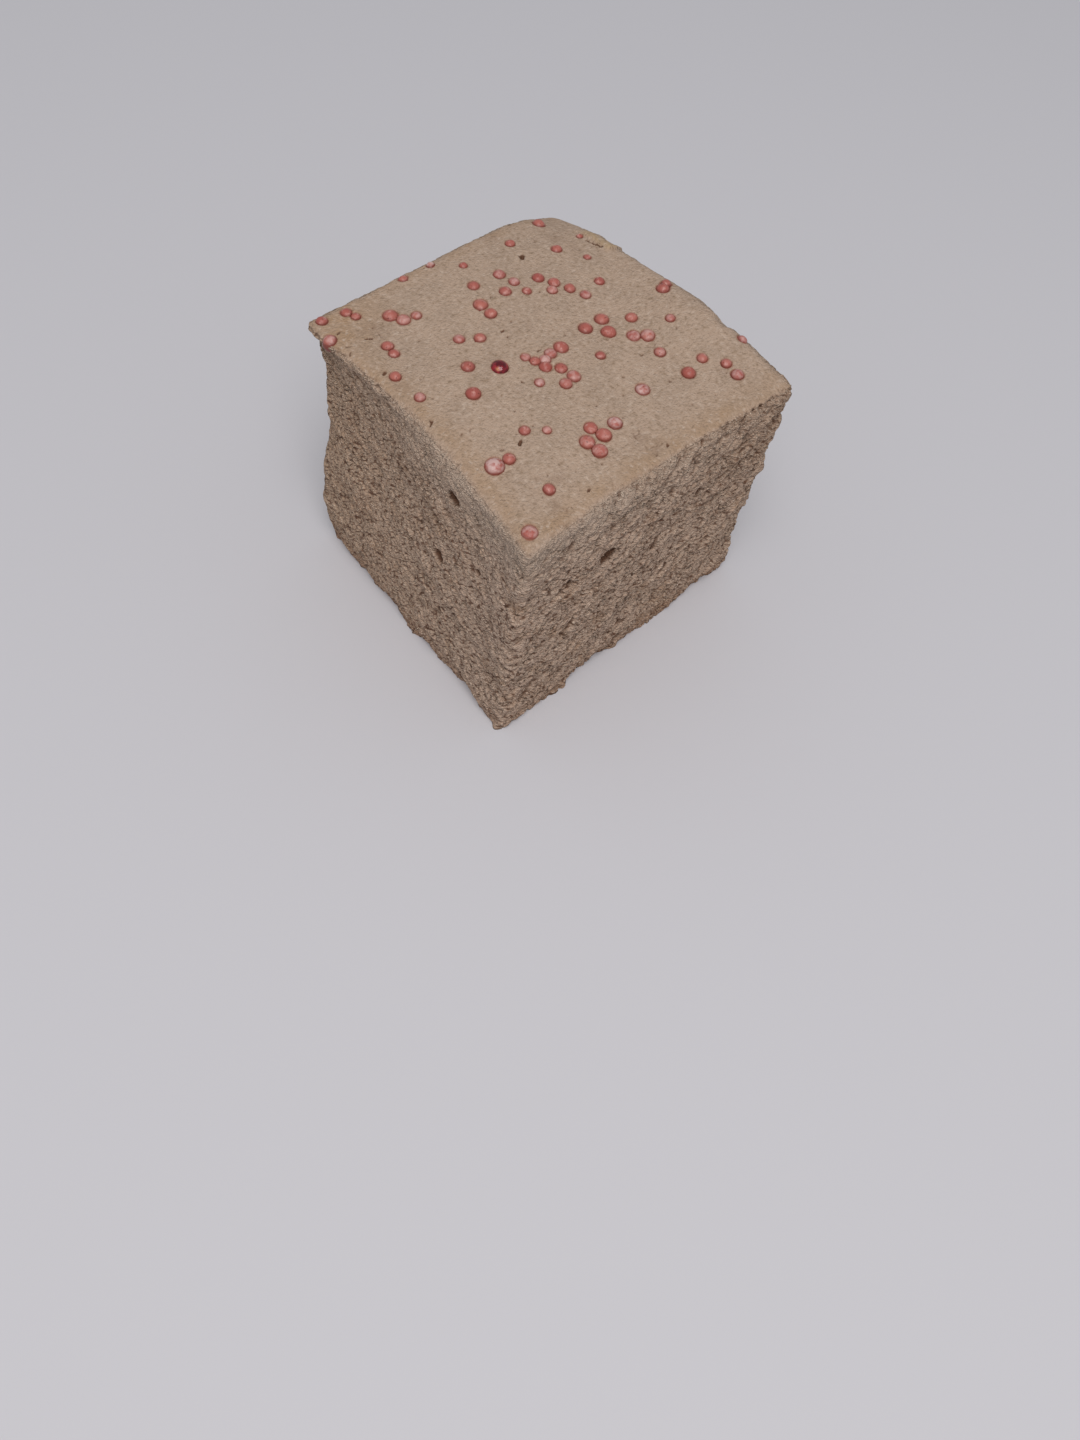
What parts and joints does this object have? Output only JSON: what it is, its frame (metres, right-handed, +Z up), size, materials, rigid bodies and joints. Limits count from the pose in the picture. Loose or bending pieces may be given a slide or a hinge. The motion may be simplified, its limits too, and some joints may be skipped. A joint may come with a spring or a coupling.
{
  "type": "marshmallow",
  "caption": "Square-cut brown marshmallow with torn, porous sides and a smooth top scattered with small coral sugar beads.",
  "frame": {"origin": "the middle of the block's footprint, on the surface that it stands on", "axes": "+Z up, out of the smooth top; X and Y along the cut sides, with the two sides of the picture at -X and -Y"},
  "size_m": [0.0579, 0.0574, 0.0481],
  "materials": {
    "marshmallow": "dull, dry foam: a fine-grained tan skin on top, and greyish-brown torn crumb with small pores on the cut sides",
    "sugar_bead": "dull coral-red sugar, dusted paler on some beads"
  },
  "bodies": {
    "root": {"marshmallow": "marshmallow"}
  },
  "joints": []
}
